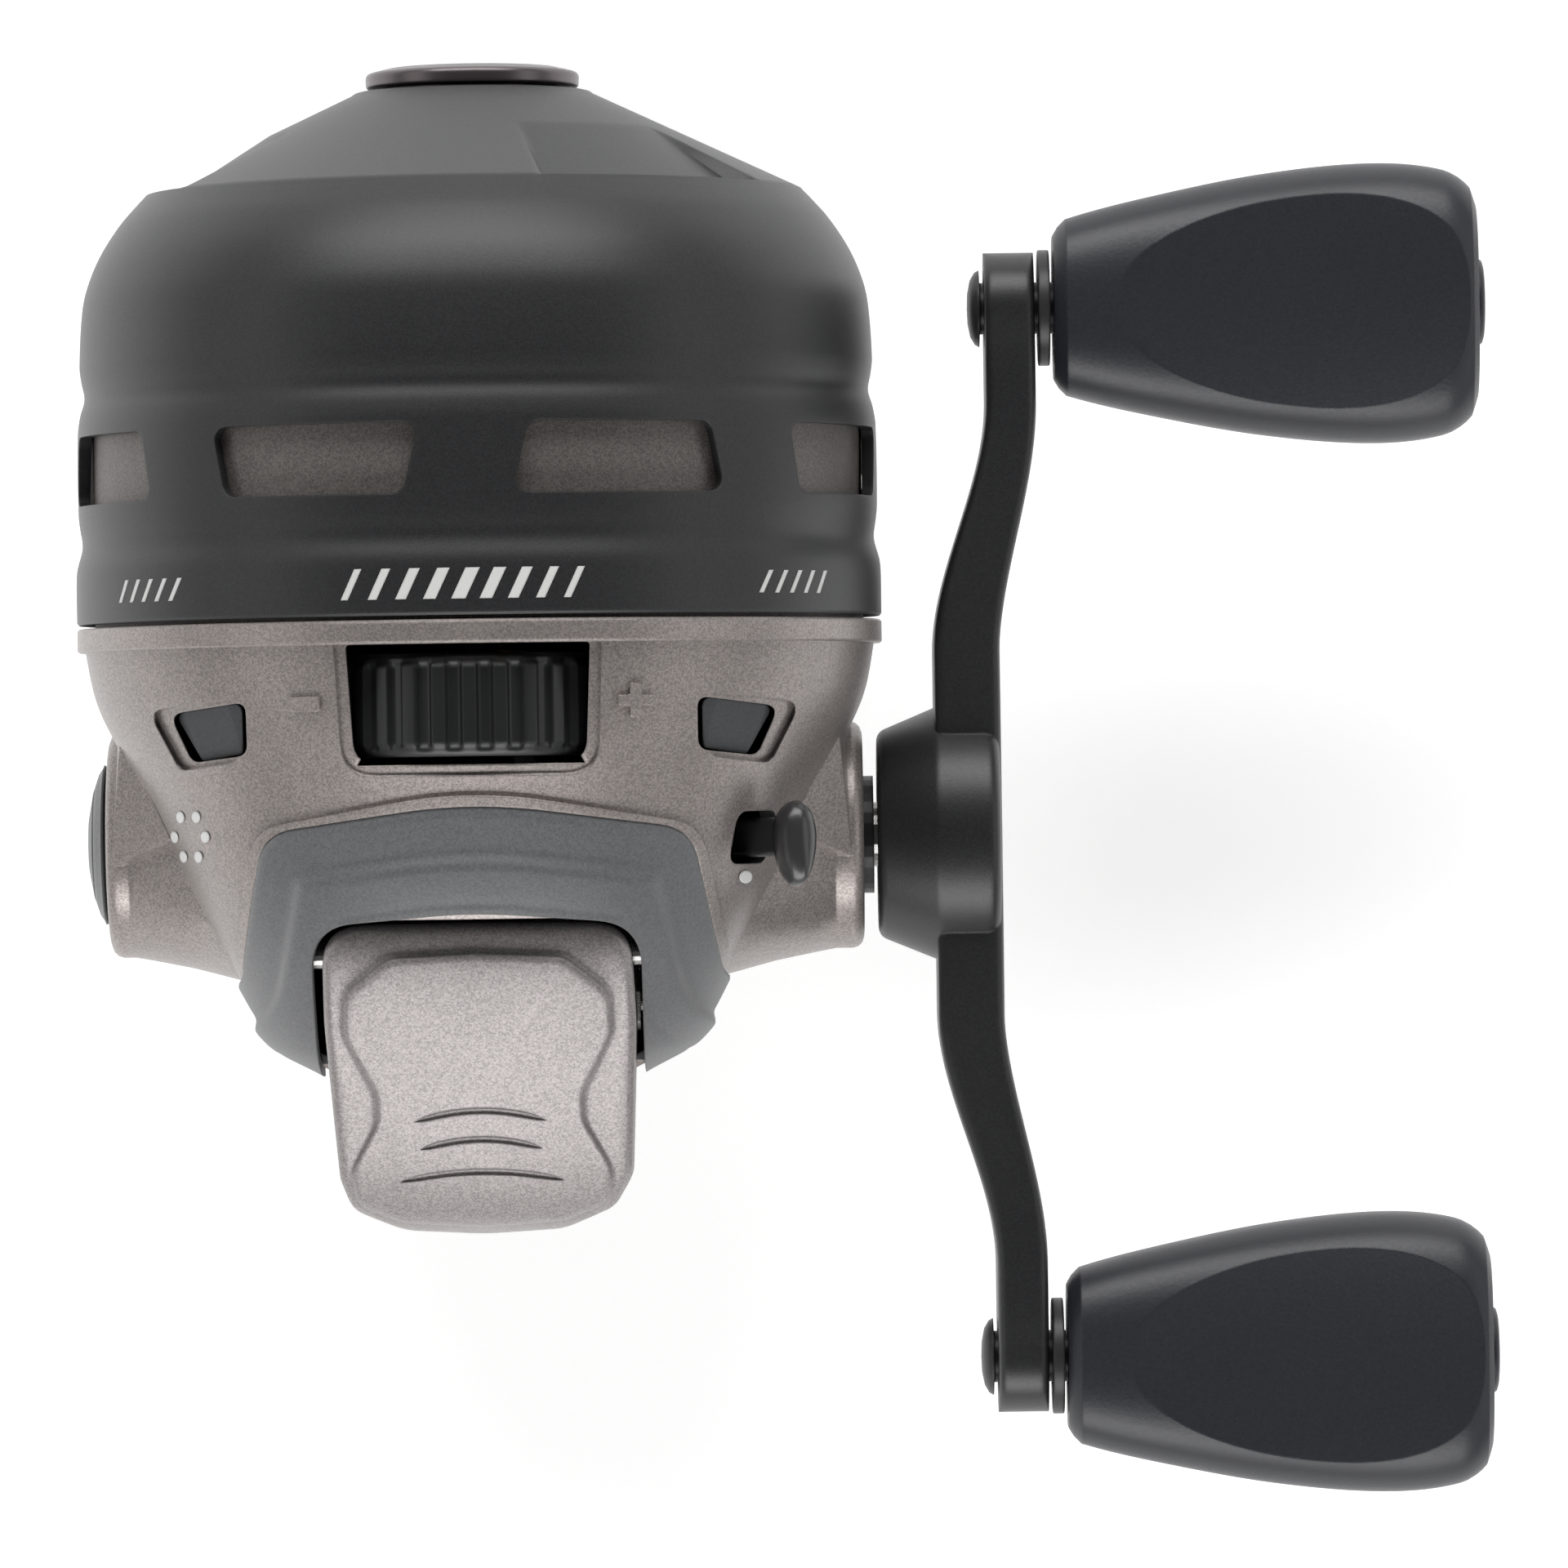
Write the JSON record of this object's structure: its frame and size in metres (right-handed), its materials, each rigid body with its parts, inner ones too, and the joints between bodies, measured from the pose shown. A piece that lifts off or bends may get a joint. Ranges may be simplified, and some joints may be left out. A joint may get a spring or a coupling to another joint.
{
  "type": "spincast reel",
  "caption": "Closed-face spincast fishing reel with a double-knob crank, thumb button, drag dial, anti-reverse lever and a foot for the rod's reel seat.",
  "frame": {"origin": "centre of the reel foot's underside, where it rests on the rod", "axes": "+Y forward along the rod to the line ring in the nose, +X to the crank handle, +Z away from the rod"},
  "size_m": [0.1098, 0.1111, 0.071],
  "materials": {
    "soft_black": "soft-touch satin black paint",
    "titanium_paint": "warm titanium metallic paint with fine sparkle",
    "button_paint": "light titanium metallic paint",
    "soft_grey": "soft-touch dark grey",
    "gloss_black": "glossy black",
    "arm_black": "black anodised, satin",
    "knob_black": "soft-touch bluish black",
    "gunmetal": "polished dark nickel",
    "steel": "turned",
    "brass": "machined",
    "zinc": "die cast",
    "aluminium": "turned, satin",
    "nylon": "natural nylon"
  },
  "bodies": {
    "housing": {"body_shell": "titanium_paint", "front_cover": "soft_black", "nose_ring": "gunmetal", "vent_insert_left": "soft_grey", "vent_insert_right": "soft_grey", "rear_cover": "soft_grey", "reel_foot": "titanium_paint", "foot_screw_rear": "steel", "foot_screw_front": "steel", "deck_plate": "zinc", "pinion_bearing": "steel", "spool_retainer": "steel", "crank_bearing_right": "steel", "crank_bearing_left": "steel", "side_cap": "soft_grey", "button_pin": "steel", "pawl_pin": "steel"},
    "crank": {"handle_arm": "arm_black", "crank_shaft": "steel", "drive_gear": "zinc", "ratchet_wheel": "steel", "shaft_collar": "gloss_black", "handle_screw": "steel", "knob_pin_front": "steel", "knob_pin_rear": "steel", "knob_washer_front": "nylon", "knob_washer_rear": "nylon"},
    "front_knob": {"knob_front": "knob_black", "knob_cap_front": "knob_black"},
    "rear_knob": {"knob_rear": "knob_black", "knob_cap_rear": "knob_black"},
    "pinion": {"pinion": "brass"},
    "carriage": {"shaft_seat": "steel", "shaft_return_spring": "steel"},
    "rotor": {"center_shaft": "steel", "spinner_head": "aluminium", "spinner_nut": "brass"},
    "pin": {"pickup_pin": "steel"},
    "spool": {"spool": "aluminium"},
    "dial": {"drag_dial": "gloss_black", "drag_screw": "brass"},
    "shoe": {"drag_shoe": "nylon"},
    "button": {"thumb_button": "button_paint", "button_pusher": "zinc"},
    "lever": {"anti_reverse_lever": "gloss_black"},
    "pawl": {"anti_reverse_pawl": "steel"}
  },
  "joints": [
    {"name": "crank_turn", "type": "hinge", "parent": "housing", "child": "crank", "pos_m": [0, 0, 0.0345], "axis": [-1, 0, 0], "continuous": true},
    {"name": "knob_front_turn", "type": "hinge", "parent": "crank", "child": "front_knob", "pos_m": [0.06, 0.0407, 0.0345], "axis": [1, 0, 0], "continuous": true},
    {"name": "knob_rear_turn", "type": "hinge", "parent": "crank", "child": "rear_knob", "pos_m": [0.06, -0.0407, 0.0345], "axis": [1, 0, 0], "continuous": true},
    {"name": "pinion_turn", "type": "hinge", "parent": "housing", "child": "pinion", "pos_m": [0, 0.0074, 0.04], "axis": [0, 1, 0], "continuous": true},
    {"name": "shaft_slide", "type": "slide", "parent": "housing", "child": "carriage", "axis": [0, 1, 0], "range_m": [0, 0.00445], "deforming": ["shaft_return_spring"]},
    {"name": "rotor_turn", "type": "hinge", "parent": "carriage", "child": "rotor", "pos_m": [0, 0.03, 0.04], "axis": [0, 1, 0], "continuous": true},
    {"name": "pickup_slide", "type": "slide", "parent": "rotor", "child": "pin", "axis": [0, 0, 1], "range_m": [-0.0022, 0]},
    {"name": "spool_turn", "type": "hinge", "parent": "housing", "child": "spool", "pos_m": [0, 0.025, 0.04], "axis": [0, 1, 0], "continuous": true},
    {"name": "dial_turn", "type": "hinge", "parent": "housing", "child": "dial", "pos_m": [0, 0.01, 0.0586], "axis": [0, 1, 0], "range_deg": [-135, 135]},
    {"name": "shoe_slide", "type": "slide", "parent": "housing", "child": "shoe", "axis": [0, 1, 0], "range_m": [-0.0003, 0.0003]},
    {"name": "button_press", "type": "hinge", "parent": "housing", "child": "button", "pos_m": [0, -0.0085, 0.056], "axis": [1, 0, 0], "range_deg": [0, 14.3], "stiffness_Nm_per_rad": 0.3, "springref_deg": -17.19},
    {"name": "lever_switch", "type": "hinge", "parent": "housing", "child": "lever", "pos_m": [0.015, 0, 0.0455], "axis": [0, 1, 0], "range_deg": [-13, 0]},
    {"name": "pawl_turn", "type": "hinge", "parent": "housing", "child": "pawl", "pos_m": [0.0113, -0.0125, 0.045], "axis": [1, 0, 0], "range_deg": [-11.6, 0]}
  ],
  "couplings": [
    {"joint": "pinion_turn", "follows": "crank_turn", "ratio": 4.1429},
    {"joint": "rotor_turn", "follows": "crank_turn", "ratio": 4.1429},
    {"joint": "shaft_slide", "follows": "button_press", "m_per_rad": 0.0178},
    {"joint": "pickup_slide", "follows": "button_press", "m_per_rad": -0.0088},
    {"joint": "shoe_slide", "follows": "dial_turn", "m_per_rad": 0.00012},
    {"joint": "pawl_turn", "follows": "lever_switch", "ratio": 0.885}
  ]
}
